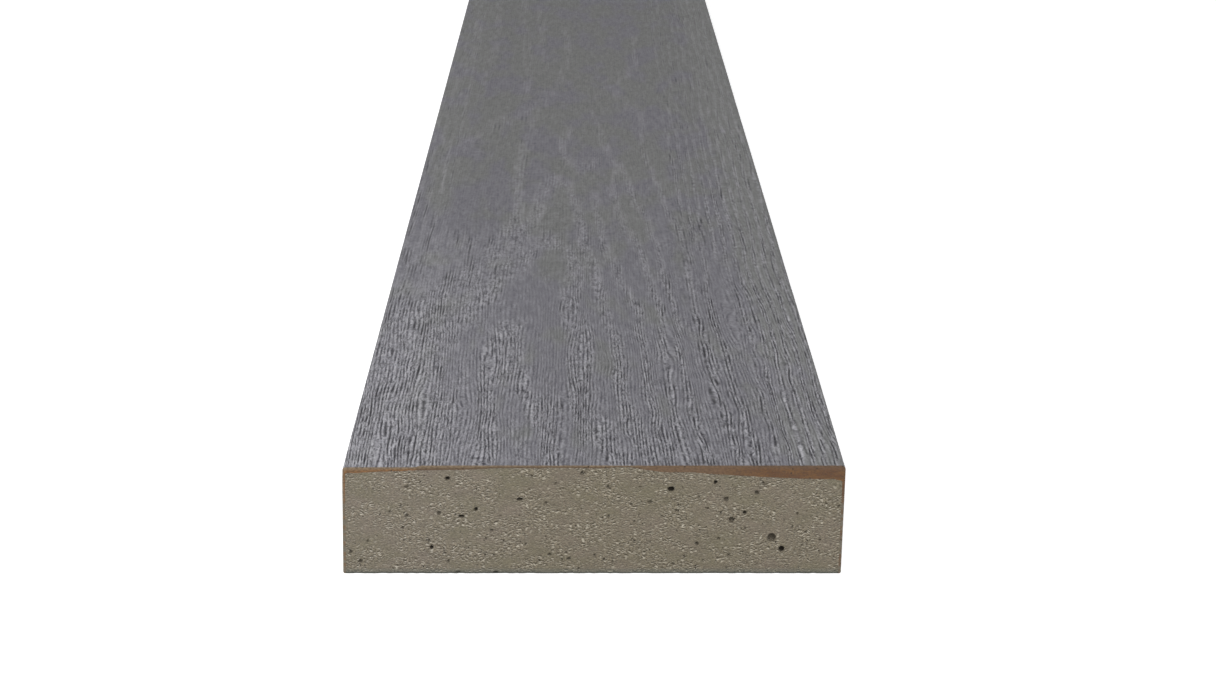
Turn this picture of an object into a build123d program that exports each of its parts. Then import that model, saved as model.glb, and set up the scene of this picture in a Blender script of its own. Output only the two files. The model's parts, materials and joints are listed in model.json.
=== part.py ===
"""Composite decking board of mineral-filled resin, with a bonded wear skin.

The board is moulded face down. A coloured resin skin is laid in the mould first, over the
face and up both sides, and the core is poured in behind it. The skin is therefore uneven
underneath, and the core's upper surface follows it exactly. Both ends are sawn square, so
they show the skin in section and the air bubbles that the saw has opened in the core.

Millimetres. The board lies face up along Y, centred on X and Y, with its underside at Z = 0.
"""

import os

from build123d import *

# The board
board_length = 3600
board_width = 145
board_thickness = 32
top_edge_radius = 1.2
bottom_edge_radius = 0.5

# The wear skin
side_skin = 0.8
inner_corner_radius = 0.6

# Skin over the face, from the left edge to the right: how far across, and how thick there
skin_over_face = [
    (0.00, 2.2),
    (0.13, 2.0),
    (0.24, 1.5),
    (0.42, 1.1),
    (0.57, 0.8),
    (0.65, 2.1),
    (0.76, 2.9),
    (0.86, 3.8),
    (1.00, 4.4),
]

# Bubbles that the saw has opened in the core's end: how far across the core from its middle,
# how far up the board's thickness, and the width of the opening
sawn_bubbles = [
    (-0.490, 0.203, 1.0),
    (-0.377, 0.540, 1.0),
    (-0.334, 0.308, 1.1),
    (-0.312, 0.560, 1.2),
    (-0.294, 0.881, 1.3),
    (-0.267, 0.532, 1.3),
    (-0.149, 0.690, 1.4),
    (0.155, 0.783, 1.7),
    (0.207, 0.277, 1.1),
    (0.266, 0.692, 1.3),
    (0.277, 0.498, 1.6),
    (0.327, 0.748, 1.3),
    (0.358, 0.336, 2.4),
    (0.379, 0.228, 1.6),
]

os.makedirs("parts", exist_ok=True)

core_width = board_width - 2 * side_skin
skin_underside = [
    ((across - 0.5) * core_width, board_thickness - thickness)
    for across, thickness in skin_over_face
]

# Both pieces are drawn in section at the far end, and run towards the near one
far_end = Plane.XZ.offset(-board_length / 2)

with BuildPart() as core:
    # Flat underneath and at the sides, and fitted to the skin on top
    with BuildSketch(far_end) as core_section:
        with BuildLine():
            seam = Spline(*skin_underside)
            Polyline(seam @ 1, (core_width / 2, 0), (-core_width / 2, 0), seam @ 0)
        make_face()
        upper_corners = core_section.vertices().sort_by(Axis.Y)[-2:]
        fillet(upper_corners, radius=inner_corner_radius)
    extrude(amount=board_length)
    # The far end is the near one turned round, so each bubble has its own place there
    for end in (-1, 1):
        for across, up, opening in sawn_bubbles:
            centre = (-end * across * core_width, end * board_length / 2, up * board_thickness)
            with Locations(centre):
                Sphere(radius=opening / 2, mode=Mode.SUBTRACT)

with BuildPart() as skin:
    # The board's outline less the core leaves the skin, open underneath
    with BuildSketch(far_end) as skin_section:
        Rectangle(board_width, board_thickness, align=(Align.CENTER, Align.MIN))
        fillet(skin_section.vertices().group_by(Axis.Y)[-1], radius=top_edge_radius)
        fillet(skin_section.vertices().group_by(Axis.Y)[0], radius=bottom_edge_radius)
        add(core_section.sketch_local, mode=Mode.SUBTRACT)
    extrude(amount=board_length)

core.part.label = "mineral_core"
skin.part.label = "wear_skin"
for piece in (core, skin):
    export_step(piece.part, f"parts/{piece.part.label}.step")
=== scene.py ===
# %% [markdown]
# # A composite decking board
#
# The board is cast from resin filled with crushed mineral. A thin skin of coloured resin makes
# its walking face and both sides. The mould gave that face the relief of brushed oak. The ends
# are sawn, so they show the brown inside of the skin, and the core with the air bubbles that
# were trapped in it.
#
# The solid model gives the sizes. Here each piece gets its relief and its finish, in the same
# frame: metres, with the board along Y and its underside at Z = 0.

# %% The frame
import json
from math import radians

import bpy
import numpy as np
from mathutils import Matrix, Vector

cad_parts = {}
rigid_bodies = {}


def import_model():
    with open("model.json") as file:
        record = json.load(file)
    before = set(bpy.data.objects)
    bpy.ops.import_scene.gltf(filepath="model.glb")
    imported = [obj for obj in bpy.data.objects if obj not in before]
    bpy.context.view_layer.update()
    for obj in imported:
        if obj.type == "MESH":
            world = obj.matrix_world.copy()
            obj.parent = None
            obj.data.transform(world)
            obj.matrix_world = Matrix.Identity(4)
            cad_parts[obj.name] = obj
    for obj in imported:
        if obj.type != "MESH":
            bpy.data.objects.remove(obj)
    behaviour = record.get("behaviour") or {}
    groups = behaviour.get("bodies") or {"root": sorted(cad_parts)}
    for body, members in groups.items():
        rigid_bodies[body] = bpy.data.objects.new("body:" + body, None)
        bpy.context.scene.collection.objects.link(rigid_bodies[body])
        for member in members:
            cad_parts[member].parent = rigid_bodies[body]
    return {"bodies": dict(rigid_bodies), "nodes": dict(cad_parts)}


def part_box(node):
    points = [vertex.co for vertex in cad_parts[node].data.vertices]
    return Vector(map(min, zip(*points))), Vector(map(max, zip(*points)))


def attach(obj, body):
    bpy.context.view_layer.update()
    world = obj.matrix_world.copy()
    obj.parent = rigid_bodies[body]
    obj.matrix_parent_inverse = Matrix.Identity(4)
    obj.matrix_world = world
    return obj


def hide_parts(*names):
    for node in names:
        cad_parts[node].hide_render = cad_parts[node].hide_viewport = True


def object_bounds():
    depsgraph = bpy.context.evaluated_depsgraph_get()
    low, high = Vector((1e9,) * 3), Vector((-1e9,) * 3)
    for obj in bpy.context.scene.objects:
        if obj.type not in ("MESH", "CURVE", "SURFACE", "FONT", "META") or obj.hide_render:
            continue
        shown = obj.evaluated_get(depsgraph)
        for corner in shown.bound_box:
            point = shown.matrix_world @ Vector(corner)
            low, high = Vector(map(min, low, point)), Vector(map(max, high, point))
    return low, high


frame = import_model()
cad_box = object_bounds()
body = list(frame["bodies"])[0]
mm = 0.001
print("nodes", sorted(frame["nodes"]), "on the body", body)

# %% [markdown]
# ## The camera
#
# The board is seen from its near end, a little to the left of its middle and from above. The
# camera looks straight along the board, tilted down, so the end face keeps its square corners
# and the long edges run together. Its picture is shifted sideways, which moves the board in the
# frame without turning the camera.

# %% Camera
camera_data = bpy.data.cameras.new("camera")
camera_data.sensor_width = 36
camera_data.lens = 115.8
camera_data.shift_x = 0.0224
camera = bpy.data.objects.new("camera", camera_data)
camera.location = (-0.0038, -2.898, 0.2802)
camera.rotation_euler = (radians(90 - 10.93), 0, 0)
bpy.context.scene.collection.objects.link(camera)
bpy.context.scene.camera = camera
print("the camera stands", round(camera.location.z, 3), "m up")

# %% [markdown]
# ## Sizes from the solid model
#
# The core's solid gives everything that both pieces share: the height of the seam under the
# skin, and where the largest bubbles are. They could be typed in again, but then the two models
# might drift apart. On the sawn end the rim of a bubble is a ring of points close together, and
# the points of the seam stand apart.

# %% The board and its sawn end
low, high = (np.array(corner) / mm for corner in cad_box)
board_width, board_length, board_thickness = high - low
half_width, half_length = board_width / 2, board_length / 2
core_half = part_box("mineral_core")[1][0] / mm
print("board", board_width.round(2), "x", board_thickness.round(2), "x", board_length.round(1))

core_points = np.array([v.co for v in frame["nodes"]["mineral_core"].data.vertices]) / mm
on_end = core_points[abs(core_points[:, 1] + half_length) < 0.01][:, [0, 2]]
on_end = np.unique(on_end.round(3), axis=0)
ring_reach = 0.45
# The core's rounded corners lie this close to its sides
corner_zone = 0.7


def gather(points, reach):
    """Sorts the points into groups whose members are within reach of one another."""
    groups = []
    for point in points:
        close = [g for g in groups if min(np.hypot(*(np.array(g) - point).T)) < reach]
        merged = [point] + [p for g in close for p in g]
        groups = [g for g in groups if not any(g is c for c in close)] + [merged]
    return [np.array(g) for g in groups]


inside = on_end[abs(on_end[:, 0]) < core_half - corner_zone]
groups = gather(inside, ring_reach)
large_bubbles = []
for rim in (g for g in groups if len(g) > 3):
    opening, middle = np.ptp(rim, axis=0), (rim.max(0) + rim.min(0)) / 2
    large_bubbles.append((*middle, *opening))
print(len(large_bubbles), "bubbles in the solid, the widest", max(b[2] for b in large_bubbles))

# %% The seam
corners = [on_end[(on_end[:, 0] * side > 0) & (on_end[:, 1] > 1)] for side in (-1, 1)]
seam_ends = [points[points[:, 1].argmax()] for points in
             (c[abs(c[:, 0]) > core_half - corner_zone] for c in corners)]
seam = np.array(sorted([tuple(p) for g in groups if len(g) == 1 for p in g]
                       + [tuple(p) for p in seam_ends]))
print("the seam runs through", seam.round(1).tolist())

# %% [markdown]
# ## A random surface that is the same each time
#
# Wood and cast resin are uneven at every scale. Blender has noise of its own, but a script asks
# it for one point at a time, which is slow for a whole mesh. This noise works on all the points
# at once: it takes random heights on a square lattice and rounds the steps between them.
# Dividing one coordinate by a large number stretches it, which turns round blots into long
# fibres.

# %% Noise and soft steps
lattice_size = 256


def soft_noise(u, v, seed):
    """Smooth random values between -1 and 1 over a plane."""
    lattice = np.random.default_rng(seed).uniform(-1, 1, (lattice_size, lattice_size))
    u, v = np.broadcast_arrays(u, v)
    iu, iv = np.floor(u).astype(int), np.floor(v).astype(int)
    fu, fv = soft_step(0, 1, u - iu), soft_step(0, 1, v - iv)
    iu, iv = iu % lattice_size, iv % lattice_size
    ju, jv = (iu + 1) % lattice_size, (iv + 1) % lattice_size
    near = lattice[iu, iv] * (1 - fu) + lattice[ju, iv] * fu
    far = lattice[iu, jv] * (1 - fu) + lattice[ju, jv] * fu
    return near * (1 - fv) + far * fv


def soft_step(start, end, value):
    """0 before start, 1 after end, and a smooth slope between them."""
    share = np.clip((value - start) / (end - start), 0, 1)
    return share * share * (3 - 2 * share)


print("a line of noise:", soft_noise(np.arange(0, 3, 0.5), 0, 1).round(2))

# %% [markdown]
# ## The rings of the grain
#
# The face copies a plank sawn beside the heart of an oak. Each year's ring has soft, porous wood
# and then hard, smooth wood. Along the middle the rings close into long arches, one inside the
# other, and at both edges they run straight. Brushing has worn the soft wood away, so each soft
# ring is a shallow trough full of open pores.
#
# A texture of parallel waves would give stripes, but not these arches, so the middle of each
# soft ring is drawn as a few points: millimetres across from the board's middle, and from the
# near end. The three numbers before them are half the ring's width at the line's start, middle
# and end.

# %% The lines of the soft rings
soft_rings = [
    ((3.0, 4.0, 2.0), [
        (-65, 119), (-62, 147), (-58, 170), (-55, 195), (-50, 221), (-45, 247), (-40, 281),
        (-34, 310), (-28, 340), (-23, 370), (-18, 388), (-13, 395)]),
    ((2.0, 4.4, 2.6), [
        (-13, 395), (-10, 380), (-7, 360), (-5, 335), (-6, 300), (-8, 270), (-7, 235), (-5, 205),
        (-4, 180), (-4, 155), (-4, 125), (-4, 92), (-2, 65), (3, 42), (6, 22), (9, 2)]),
    ((3.0, 3.5, 2.0), [
        (-67, 218), (-62, 243), (-56, 270), (-50, 295), (-44, 325), (-38, 358), (-31, 388),
        (-25, 425), (-22, 460), (-20, 510), (-17, 540), (-13, 545)]),
    ((2.0, 2.0, 2.0), [
        (-13, 545), (-9, 530), (-6, 490), (-4, 445), (-3, 395), (-1, 365), (1, 335), (3, 295),
        (4, 260), (6, 230), (8, 200), (8, 170), (9, 140), (9, 107), (10, 83), (12, 56), (14, 32),
        (17, 4)]),
    ((2.0, 2.0, 2.0), [
        (-40, 380), (-34, 405), (-30, 445), (-30, 500), (-31, 560), (-30, 620), (-28, 675),
        (-26, 740)]),
    ((2.5, 2.8, 2.5), [
        (-30, 214), (-32, 195), (-34, 165), (-34, 135), (-33, 104), (-32, 77), (-32, 48), (-31, 22),
        (-32, 1)]),
    ((2.2, 2.0, 2.0), [
        (-28, 214), (-26, 195), (-25, 170), (-25, 142), (-23, 114), (-19, 85), (-15, 59), (-14, 33),
        (-12, 2)]),
    ((1.0, 1.2, 1.0), [(-20, 98), (-15, 87), (-11, 87)]),
    ((1.3, 1.6, 1.7), [
        (2, 505), (3, 460), (4, 420), (5, 380), (7, 350), (9, 325), (12, 295), (14, 270), (16, 245),
        (16, 215), (17, 185), (17, 155), (17, 125), (18, 95), (19, 68), (20, 39), (22, 17),
        (23, 1)]),
    ((1.3, 1.2, 1.5), [
        (3, 775), (4, 720), (6, 670), (9, 630), (11, 585), (10, 530), (11, 485), (12, 450),
        (14, 425), (17, 400), (19, 370), (21, 335), (22, 295), (23, 265), (24, 225), (24, 190),
        (24, 160), (25, 130), (25, 98), (25, 74), (26, 48), (27, 22), (29, 1)]),
    ((1.2, 1.1, 1.5), [
        (14, 585), (16, 540), (18, 505), (21, 470), (23, 435), (24, 405), (26, 375), (26, 335),
        (27, 300), (28, 270), (29, 235), (29, 205), (29, 175), (30, 140), (30, 110), (31, 83),
        (31, 56), (32, 31), (34, 1)]),
    ((0.8, 1.0, 1.4), [
        (25, 720), (24, 660), (26, 600), (29, 540), (31, 465), (34, 430), (36, 395), (37, 365),
        (36, 325), (36, 285), (36, 255), (37, 225), (38, 195), (38, 165), (39, 135), (39, 104),
        (40, 77), (41, 50), (42, 25), (43, 1)]),
    ((0.8, 1.0, 1.4), [
        (39, 440), (41, 390), (42, 345), (42, 300), (42, 250), (43, 200), (44, 160), (44, 125),
        (45, 89), (46, 56), (47, 25), (48, 1)]),
    ((1.5, 2.0, 1.5), [(-10, 710), (-12, 660), (-10, 615), (-6, 590), (-1, 590), (3, 600)]),
    ((2.5, 2.0, 1.5), [
        (-56, 670), (-50, 690), (-45, 725), (-39, 750), (-33, 765), (-27, 785), (-21, 815),
        (-18, 850), (-15, 890), (-12, 950), (-11, 1035), (-14, 1135)]),
    ((1.5, 2.0, 1.5), [
        (5, 830), (8, 865), (12, 890), (17, 910), (23, 950), (26, 1010), (26, 1095)]),
    ((1.5, 2.0, 1.5), [(12, 885), (14, 830), (19, 795), (24, 770), (25, 720)]),
    ((1.5, 2.0, 1.5), [(-38, 1300), (-37, 1175), (-34, 1065), (-31, 935), (-32, 840)]),
    ((1.5, 1.5, 1.5), [(-29, 1255), (-26, 1145), (-25, 1055), (-22, 970), (-22, 935)]),
    ((1.5, 1.5, 1.5), [(-53, 1270), (-51, 1135), (-51, 1010), (-53, 900), (-54, 840)]),
    ((1.5, 1.5, 1.5), [(-63, 1185), (-61, 1065), (-63, 980), (-65, 910)]),
]


def smooth_run(points, widths):
    """A smooth curve through the points, and the ring's half width at each step of it."""
    points = np.array(points, float)
    padded = np.vstack([2 * points[0] - points[1], points, 2 * points[-1] - points[-2]])
    run = []
    for a, b, c, d in zip(padded, padded[1:], padded[2:], padded[3:]):
        for t in (0, 0.25, 0.5, 0.75):
            bend = (2 * a - 5 * b + 4 * c - d) * t**2 + (3 * b - a - 3 * c + d) * t**3
            run.append((2 * b + (c - a) * t + bend) / 2)
    run = np.array(run + [points[-1]])
    return run, np.interp(np.linspace(0, 1, len(run)), (0, 0.5, 1), widths)


ring_runs = [smooth_run(points, widths) for widths, points in soft_rings]
print(len(ring_runs), "soft rings, drawn by", sum(len(p) for w, p in soft_rings), "points")

# %% [markdown]
# The rings are far longer than they are wide, so a ring's edge is soft over a millimetre across
# the board and over several along it. Distances are therefore measured in a squeezed plane,
# where lengths along the board count for a seventh.

# %% How porous the face is
grain_stretch = 7.0
ring_edge = 1.2
seen_length = 1300


def ring_mask(x, y):
    """1 in the middle of a soft ring, 0 on the hard wood between the rings."""
    mask = np.zeros_like(x)
    for run, halves in ring_runs:
        for (ax, ay), (bx, by), half in zip(run, run[1:], halves):
            reach = half + ring_edge
            close = (x > min(ax, bx) - reach) & (x < max(ax, bx) + reach)
            close &= (y > min(ay, by) - reach * grain_stretch)
            close &= (y < max(ay, by) + reach * grain_stretch)
            if not close.any():
                continue
            px, py = x[close] - ax, (y[close] - ay) / grain_stretch
            dx, dy = bx - ax, (by - ay) / grain_stretch
            along = np.clip((px * dx + py * dy) / (dx * dx + dy * dy), 0, 1)
            distance = np.hypot(px - along * dx, py - along * dy)
            inside = soft_step(half + ring_edge, half - ring_edge, distance)
            mask[close] = np.maximum(mask[close], inside)
    return mask


def straight_rings(x, y):
    """The fine parallel rings at both edges of the board."""
    pitch = 3.7
    drift = 2.2 * soft_noise(y / 110, x / 45, 31) + 0.7 * soft_noise(y / 35, x / 14, 32)
    wave = np.cos(2 * np.pi * (x + drift) / pitch)
    inner_edge = 50 - 17 * soft_step(280, 480, y)
    at_edge = soft_step(inner_edge, inner_edge + 5, x) + 0.6 * soft_step(-57, -62, x)
    strength = 0.80 + 0.30 * soft_noise(x / 4, y / 90, 38)
    return np.minimum(at_edge * soft_step(-0.3, 0.6, wave) * strength, 1)


def past_seen(y):
    """Past the length that was drawn, the same rings run back towards where they began."""
    cycle = np.mod(y, 2 * seen_length)
    return np.where(cycle > seen_length, 2 * seen_length - cycle, cycle)


# The near left is rough all over, up to this line: how far along, and how far across
rough_edge = [(0, -42), (90, -43), (110, -47), (150, -48), (180, -46), (226, -41), (250, -37)]
# Further left the rings lie in half-rough wood, which begins here: how far across, and along
half_rough_start = [(-51, 137), (-48, 181), (-40, 222), (-35, 277), (-25, 306), (-19, 356),
                    (-15, 382)]


def porous(x, y):
    """Soft rings, edges and rough patches together, from 0 to 1."""
    past = soft_step(seen_length, seen_length + 500, y)
    drifted = x + past * 9 * soft_noise(y / 420, 0 * y, 33)
    uneven_x = drifted + 0.9 * soft_noise(y / 26, x / 5, 34)
    uneven_y = past_seen(y) + 10 * soft_noise(y / 30, x / 4, 36)
    rings = np.maximum(ring_mask(uneven_x, uneven_y), straight_rings(drifted, y))
    past_edge = uneven_x - np.interp(uneven_y, *np.transpose(rough_edge))
    left = 0.9 * soft_step(2, -3, past_edge) * soft_step(250, 190, uneven_y)
    left *= 0.75 + 0.20 * soft_noise(x / 5, y / 60, 37)
    # The place where the inner arch closes is rough too
    close_x, close_y = -29.5, 168
    close = soft_step(7, 4, np.abs(uneven_x - close_x))
    close *= soft_step(55, 40, np.abs(uneven_y - close_y))
    past_start = uneven_y - np.interp(uneven_x, *np.transpose(half_rough_start))
    half_rough = soft_step(-15, -21, uneven_x) * soft_step(440, 380, uneven_y)
    half_rough *= soft_step(-8, 14, past_start) * (0.38 + 0.2 * soft_noise(x / 4, y / 30, 39))
    return np.maximum.reduce([rings, left, 0.9 * close, half_rough])


sample = porous(*np.meshgrid(np.linspace(-half_width, half_width, 60), np.linspace(0, 600, 60)))
print("porous share of the near 600 mm:", sample.mean().round(2))

# %% [markdown]
# ## The relief
#
# The relief only goes down from the board's flat face, so the board keeps its size. The material
# could displace the face instead, but only while it renders, and the model needs its relief
# everywhere, so the mesh has it. A soft ring is a trough. In it the wood stands up as thin fibres
# about a millimetre apart, with open pores between them. The hard wood has a little of the same,
# and otherwise only dips gently. Next to the saw's cuts the face is nearly whole, but at the near
# left corner it lies lower, with a ragged step.
#
# The fibres are counted across the board, and the count wanders a little along it. The mesh
# makes a ridge of each whole number, and the material reads the same count, so that its finer
# lines fall on the same ridges.

# %% Depth of the relief
trough_depth = 0.20
fibre_depth = 0.22
fibre_pitch = 1.12
pore_depth = 0.25
corner_depth = 0.5
# How far from a cut the face is nearly whole
whole_edge = 7


def count_fibres(x, y):
    """How many fibres there are from the board's middle to each place."""
    # Away from the middle they lean a little to the left
    right, left = soft_step(-10, 30, x), soft_step(-10, -50, x)
    x = x + 0.012 * right * np.minimum(y, 500) + 0.015 * left * np.minimum(y, 300)
    wander = 0.9 * soft_noise(x / 6, y / 80, 41) + 0.40 * soft_noise(x / 2.5, y / 25, 42)
    wander = wander * (1 + 0.4 * right)
    return x / fibre_pitch + wander


def relief(x, y):
    """The face's depth, grain strength, pale rims (partly painted highlight) and open pores."""
    soft = porous(x, y)
    seen = past_seen(y)
    # The mould's print is strongest near the seen end, and fades to pale lines further on
    strong = soft_step(950, -100, seen)
    edge = 4 * soft * (1 - soft)
    clump = soft_step(-0.3, 0.5, soft_noise(x / 3.5, y / 28, 46))
    print_everywhere = (0.19 + 0.13 * soft_step(330, 50, y) + 0.15 * clump
                        + 0.08 * soft_step(-25, -40, x) * soft_step(450, 250, y))
    grain = print_everywhere + 0.54 * soft * (0.80 + 0.20 * clump)
    grain = grain * (1 + 0.30 * soft_step(10, 40, x) * soft_step(100, 300, y))
    grain = np.minimum((0.12 + 0.88 * strong) * grain, 1)
    count = count_fibres(x, y)
    ridge = np.cos(2 * np.pi * count)
    # The pores are in the valleys between two fibres
    right_part = soft_step(15, 40, x)
    more = 0.19 * right_part + 0.08 * soft_step(-20, -40, x)
    chosen = soft_step(0.1, 0.45, soft_noise(count + 0.5, y / 5.5, 43) + more)
    pore = (1 + 6 * more) * soft_step(0.3, -0.8, ridge) * chosen
    pore = pore * np.maximum(0.5 * soft, edge) * (0.38 + 0.62 * strong)
    pore = pore * np.maximum(clump, 0.6 * right_part)
    pore = np.minimum(pore, 1)
    ridge = ridge * (0.5 - 0.1 * right_part + 0.6 * soft_noise(x / 2, y / 10, 49))
    ridge = ridge * (1 - 0.6 * soft_step(80, 480, seen))
    dip = 0.05 + 0.04 * soft_noise(x / 13, y / 90, 44)
    depth = dip + trough_depth * soft * (0.3 + 0.7 * strong)
    depth = depth + fibre_depth * grain * (0.5 - 0.5 * ridge) + pore_depth * pore
    whole = soft_step(0, whole_edge, np.minimum(y, board_length - y))
    depth, grain = depth * (0.15 + 0.85 * whole), grain * (0.8 + 0.2 * whole)
    ragged = x + 1.0 * soft_noise(y / 9, x / 3, 45)
    corner = soft_step(-49, -53, ragged) * soft_step(40, 0, y) * soft_step(-76, -72, x)
    crumbs = soft_step(-0.5, 0.5, soft_noise(x / 1.6, y / 14, 48))
    # The pale rims are painted highlight along the edges of the soft rings, and further along
    # a paler tone of the rings themselves. They are clearest where the inner arches close
    clear = 0.75 + 0.20 * soft_step(150, 350, seen) - 0.45 * soft_step(450, 900, seen)
    rim = crumbs * clear * ((0.35 + 0.35 * (1 - strong)) * edge + 0.9 * soft**1.5 * (1 - strong))
    depth = np.maximum(depth + corner_depth * corner, 0)
    return depth, grain, np.clip(rim, 0, 1), pore


both_edges = count_fibres(np.array([-half_width, half_width]), 0)
print("fibres across the near end:", round(np.ptp(both_edges)))

# %% [markdown]
# ## The wear skin
#
# The skin is a shallow channel turned upside down: thick over the face, thin at the sides. Its
# inside follows the solid's seam, with the small waves of a poured layer, and the foot of its
# right side leans in a little. It is one closed mesh, a section that runs along the board in
# rows. A modifier could thicken a sheet instead, but it would give the same thickness
# everywhere. The rows are close together near both ends, where the relief is seen best, and
# further apart between them. The inside is flat along the board, so long faces do there.

# %% The skin's section
top_radius, bottom_radius, inner_radius = 1.2, 0.5, 0.6
side_lean, lean_start = 1.1, 50
face_columns = 520
foot_steps, wall_points, corner_steps = 2, 9, 4
# How many points of a side are below its upper corner
side_points = foot_steps + 1 + wall_points


def arc(centre, radius, start, end, count):
    """Points round a centre, with the direction that each one faces."""
    angles = np.radians(np.linspace(start, end, count + 1))
    facing = np.stack([np.cos(angles), np.sin(angles)], 1)
    return np.array(centre) + radius * facing, facing


# Waves of the poured layer: how far across, and how much higher than in the solid
seam_waves = [(-72, -0.2), (-63, 0.2), (-47, 0.3), (-38, 0.1), (-27, 0.4), (-13, 0.15), (2, -0.35),
              (10, 0.25), (19, -0.1), (28, 0.5), (36, 0.45), (48, 0.35), (59, 0.4), (72, 0.3)]


def seam_height(x):
    """The core's upper face, with the small waves of a poured layer."""
    waves = 0.10 * soft_noise(x / 4, 0 * x, 51) + 0.05 * soft_noise(x / 1.3, 0 * x, 52)
    waves = waves + np.interp(x, *np.transpose(seam_waves))
    # They fade out next to the sides, where the rounded corners have to fit
    fade = soft_step(core_half - inner_radius, core_half - 3, np.abs(x))
    return np.interp(x, *smooth_run(seam, (0, 0, 0))[0].T) + waves * fade


def left_side():
    """The skin's left side from its foot to the face, and the core's side that it covers."""
    edge, foot = -half_width, bottom_radius
    shoulder = board_thickness - top_radius
    inner_top = seam_height(np.array(inner_radius - core_half)) - inner_radius
    bottom, down = arc((edge + foot, foot), foot, 270, 180, foot_steps)
    walls = np.linspace(foot, shoulder, wall_points + 2)[1:-1]
    wall = np.stack([np.full(wall_points, edge), walls], 1)
    top, up = arc((edge + top_radius, shoulder), top_radius, 180, 90, corner_steps)
    outer = np.vstack([bottom, wall, top])
    facing = np.vstack([down, np.tile([-1, 0], (wall_points, 1)), up])
    heights = np.interp(outer[:side_points, 1], (0, shoulder), (0, inner_top))
    inner = np.stack([np.full(side_points, -core_half), heights], 1)
    corner, _ = arc((inner_radius - core_half, inner_top), inner_radius, 180, 90, corner_steps)
    return outer, facing, np.vstack([inner, corner])


def lean(x, z):
    """The right side leans in a little towards the underside."""
    share = np.clip((x - lean_start) / (half_width - lean_start), 0, 1)
    return x - side_lean * share * (1 - z / board_thickness)


flip = np.array([-1, 1])
side_outer, side_facing, side_inner = left_side()
face_x = np.linspace(side_outer[-1, 0], -side_outer[-1, 0], face_columns + 1)[1:-1]
seam_x = np.linspace(side_inner[-1, 0], -side_inner[-1, 0], face_columns + 1)[1:-1]
face = np.stack([face_x, np.full_like(face_x, board_thickness)], 1)
ceiling = np.stack([seam_x, seam_height(seam_x)], 1)


def right_side_inner():
    """The left side's inner points carried over to the right, fitted to the seam's end there."""
    right = side_inner * flip
    rise = seam_height(np.array(core_half - inner_radius)) - side_inner[-1, 1]
    share = np.clip(side_inner[:, 1] / side_inner[side_points, 1], 0, 1)
    right[:, 1] += rise * share
    return right[::-1]


outer = np.vstack([side_outer, face, (side_outer * flip)[::-1]])
facing = np.vstack([side_facing, np.tile([0, 1], (len(face), 1)), (side_facing * flip)[::-1]])
inner = np.vstack([side_inner, ceiling, right_side_inner()])
print("section of", len(outer), "points outside and", len(inner), "inside")

# %% [markdown]
# Each point of the section goes down into the relief, against the direction that it faces. The
# sides have the same fibres as the face, but a mould's side leaves them far shallower.

# %% Rows along the board
# What the sides lose of the relief's depth and of the grain, and the skin that is always left
lost_depth, lost_grain, least_skin = 0.75, 0.45, 0.2
# How far along a stretch ends, and how far apart its rows are
row_spacing = [(300, 5), (1300, 16), (3300, 90), (board_length, 13)]
rows = [0.0]
for end, step in row_spacing:
    rows += list(np.linspace(rows[-1], end, round((end - rows[-1]) / step) + 1)[1:])
rows = np.array(rows)

# The section unrolled: how far each point is from the middle, measured over the surface
girth = np.concatenate([[0], np.cumsum(np.hypot(*np.diff(outer, axis=0).T))])
girth = girth - girth[-1] / 2
unrolled, distance = np.meshgrid(girth, rows)
depth, grain, rim, pore = relief(unrolled, distance)
on_side = soft_step(0.5, 1, np.abs(facing[:, 0]))
skin_left = np.hypot(*(outer - inner).T) - least_skin
depth = np.minimum(depth * (1 - lost_depth * on_side), skin_left)
rim, pore = rim * (1 - on_side), pore * (1 - on_side)
grain = grain * (1 - lost_grain * on_side)
print(len(rows), "rows; the relief goes down to", depth.max().round(2), "mm")

# %% The skin's mesh
def build_mesh(name, points, faces, materials, kinds, flat_angle=40):
    """A mesh object in metres, smooth except where its faces meet at more than an angle."""
    mesh = bpy.data.meshes.new(name)
    mesh.from_pydata((np.array(points) * mm).tolist(), [], faces)
    mesh.polygons.foreach_set("material_index", np.array(kinds, np.int32))
    for material in materials:
        mesh.materials.append(material)
    mesh.shade_smooth()
    mesh.set_sharp_from_angle(angle=radians(flat_angle))
    mesh.validate()
    piece = bpy.data.objects.new(name, mesh)
    bpy.context.scene.collection.objects.link(piece)
    return piece


def paint(piece, name, values):
    """Stores a value at each point, for the material to read."""
    layer = piece.data.attributes.new(name, "FLOAT", "POINT")
    layer.data.foreach_set("value", np.asarray(values, np.float32).ravel())


def skin_points():
    """Outer points row by row, then both lips row by row, then the inside at both ends."""
    count, length = len(outer), len(rows)
    place = np.repeat(rows - half_length, count).reshape(length, count)
    x = outer[:, 0] - facing[:, 0] * depth
    z = outer[:, 1] - facing[:, 1] * depth
    shell = np.stack([x, place, z], 2).reshape(-1, 3)
    lips = [[(side * core_half, y - half_length, 0) for y in rows] for side in (-1, 1)]
    ends = [[(px, side * half_length, pz) for px, pz in inner[1:-1]] for side in (-1, 1)]
    points = np.vstack([shell, *lips, *ends])
    points[:, 0] = lean(points[:, 0], points[:, 2])
    return points


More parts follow.
